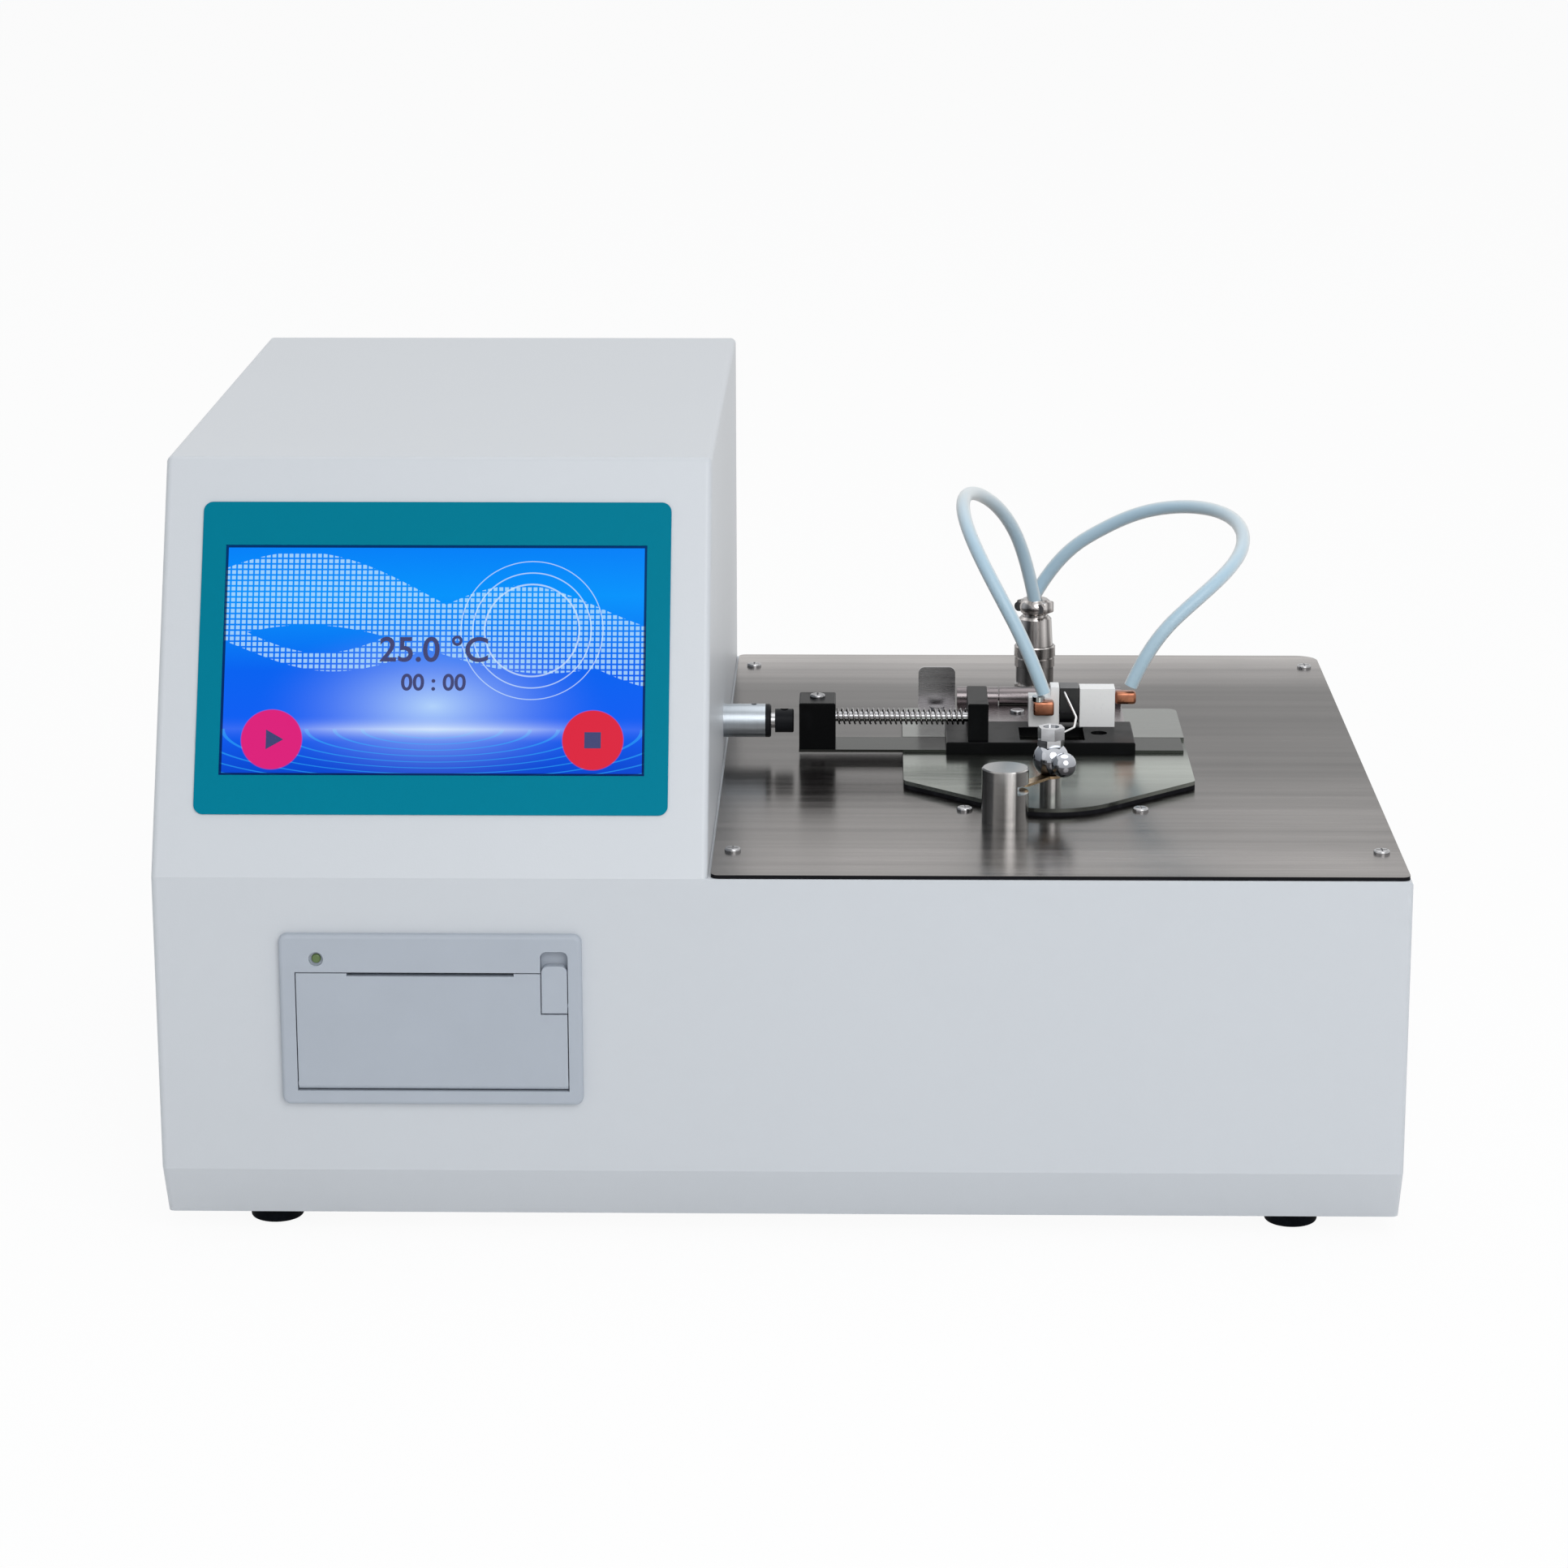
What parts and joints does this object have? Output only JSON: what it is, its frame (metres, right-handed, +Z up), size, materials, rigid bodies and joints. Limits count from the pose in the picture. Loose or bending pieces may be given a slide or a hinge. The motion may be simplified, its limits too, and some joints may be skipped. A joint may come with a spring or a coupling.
{
  "type": "flash point tester",
  "caption": "Bench instrument with a raised display tower, built-in slip printer and a cooled sample cup under a hinged, latched lid with sliding shutter and dipping hot-wire igniter.",
  "frame": {"origin": "middle of the footprint at the surface the feet stand on", "axes": "+X to the right seen from the front, +Y to the back, +Z up"},
  "size_m": [0.45, 0.3606, 0.2775],
  "materials": {
    "housing_paint": "satin powder coat",
    "inner_steel": "zinc plated",
    "foot_rubber": "matt",
    "overlay_film": "satin printed film",
    "screen": "lit display",
    "printer_plastic": "fine grain",
    "lamp": "clear green",
    "black_plastic": "satin",
    "circuit_board": "solder mask",
    "roll_paper": "smooth thermal paper",
    "platen_rubber": "matt",
    "motor_body": "dark anodised",
    "sleeve_metal": "turned",
    "deck_steel": "long grain",
    "gasket_black": "matt",
    "bright_steel": "polished",
    "turned_steel": "turned",
    "cup_metal": "machined",
    "ring_white": "smooth",
    "cooler_ceramic": "plain",
    "sink_metal": "extruded",
    "lead_silicone": "clear silicone over wire",
    "lid_steel": "satin",
    "black_metal": "black anodised",
    "terminal_ceramic": "smooth",
    "lug_copper": "bare copper",
    "tongue_bronze": "spring bronze",
    "hot_wire": "bare wire"
  },
  "bodies": {
    "base": {"housing": "housing_paint", "base_plate": "inner_steel", "feet": "foot_rubber", "front_overlay": "overlay_film", "screen_module": "screen", "printer_case": "printer_plastic", "printer_led": "lamp", "print_head": "black_plastic", "control_board": "circuit_board", "power_supply": "inner_steel", "actuator_body": "motor_body", "actuator_sleeve": "sleeve_metal", "sleeve_cap": "black_plastic", "deck_gasket": "gasket_black", "deck_plate": "deck_steel", "deck_screws": "bright_steel", "catch_pillar": "turned_steel", "cup_block": "cup_metal", "cup_insulator": "ring_white", "cooler_module": "cooler_ceramic", "heat_sink": "sink_metal", "fan_frame": "black_plastic", "connector_socket": "bright_steel", "connector_plug": "bright_steel", "hinge_deck_leaf": "turned_steel", "hinge_pin": "bright_steel", "power_inlet": "black_plastic", "lead_left": "lead_silicone", "lead_right": "lead_silicone"},
    "fan": {"fan_rotor": "black_plastic"},
    "ring": {"coupling_ring": "bright_steel"},
    "switch": {"rocker": "black_plastic"},
    "pusher": {"plunger": "turned_steel", "plunger_tip": "black_plastic"},
    "door": {"printer_door": "printer_plastic"},
    "platen": {"platen_roller": "platen_rubber"},
    "lever": {"printer_lever": "printer_plastic"},
    "roll": {"paper_roll": "roll_paper"},
    "lid": {"lid_gasket": "gasket_black", "lid_plate": "lid_steel", "guide_plate": "lid_steel", "shutter_guide": "black_metal", "guide_upright": "black_metal", "hinge_lid_leaf": "turned_steel", "terminal_block_left": "terminal_ceramic", "terminal_block_right": "terminal_ceramic", "terminal_lugs": "lug_copper", "lift_tab": "turned_steel", "lid_screws": "bright_steel", "latch_post": "turned_steel", "latch_bolt": "bright_steel"},
    "shutter": {"shutter_strip": "lid_steel", "drive_block": "black_metal", "guide_rod": "bright_steel", "return_spring": "bright_steel", "drive_screws": "bright_steel"},
    "igniter": {"igniter_carrier": "black_plastic", "igniter_wire": "hot_wire"},
    "latch": {"latch_ball": "bright_steel", "latch_tongue": "tongue_bronze"}
  },
  "joints": [
    {"name": "pusher_travel", "type": "slide", "parent": "base", "child": "pusher", "axis": [1, 0, 0], "range_m": [0, 0.0178]},
    {"name": "lid_hinge", "type": "hinge", "parent": "base", "child": "lid", "pos_m": [0.1003, 0.061, 0.1481], "axis": [-1, 0, 0], "range_deg": [0, 95], "deforming": ["latch_tongue", "lead_left", "lead_right"]},
    {"name": "shutter_slide", "type": "slide", "parent": "lid", "child": "shutter", "axis": [1, 0, 0], "range_m": [0, 0.0178], "stiffness_N_per_m": 60, "springref_m": -0.01, "deforming": ["return_spring"]},
    {"name": "igniter_tilt", "type": "hinge", "parent": "lid", "child": "igniter", "pos_m": [0.1107, 0.019, 0.153], "axis": [1, 0, 0], "range_deg": [0, 30]},
    {"name": "latch_turn", "type": "hinge", "parent": "lid", "child": "latch", "pos_m": [0.0996, -0.0804, 0.1515], "axis": [0, 0, 1], "range_deg": [0, 75]},
    {"name": "printer_door_hinge", "type": "hinge", "parent": "base", "child": "door", "pos_m": [-0.1255, -0.178, 0.0617], "axis": [1, 0, 0], "range_deg": [0, 90]},
    {"name": "platen_spin", "type": "hinge", "parent": "door", "child": "platen", "pos_m": [-0.1255, -0.1715, 0.0937], "axis": [1, 0, 0], "continuous": true},
    {"name": "printer_lever_hinge", "type": "hinge", "parent": "base", "child": "lever", "pos_m": [-0.08105, -0.1787, 0.0913], "axis": [1, 0, 0], "range_deg": [0, 25], "stiffness_Nm_per_rad": 0.005, "springref_deg": -17.19},
    {"name": "paper_roll_spin", "type": "hinge", "parent": "base", "child": "roll", "pos_m": [-0.1255, -0.1383, 0.0793], "axis": [1, 0, 0], "continuous": true},
    {"name": "ring_turn", "type": "hinge", "parent": "base", "child": "ring", "pos_m": [0.1006, 0.117, 0.154], "axis": [0, 0, 1], "range_deg": [0, 360]},
    {"name": "switch_rock", "type": "hinge", "parent": "base", "child": "switch", "pos_m": [-0.135, 0.1755, 0.06], "axis": [1, 0, 0], "range_deg": [0, 16]},
    {"name": "fan_spin", "type": "hinge", "parent": "base", "child": "fan", "pos_m": [0.1003, 0, 0.05], "axis": [0, 0, 1], "continuous": true}
  ],
  "couplings": [
    {"joint": "shutter_slide", "follows": "pusher_travel", "ratio": 1},
    {"joint": "igniter_tilt", "follows": "pusher_travel", "rad_per_m": 29.415}
  ]
}
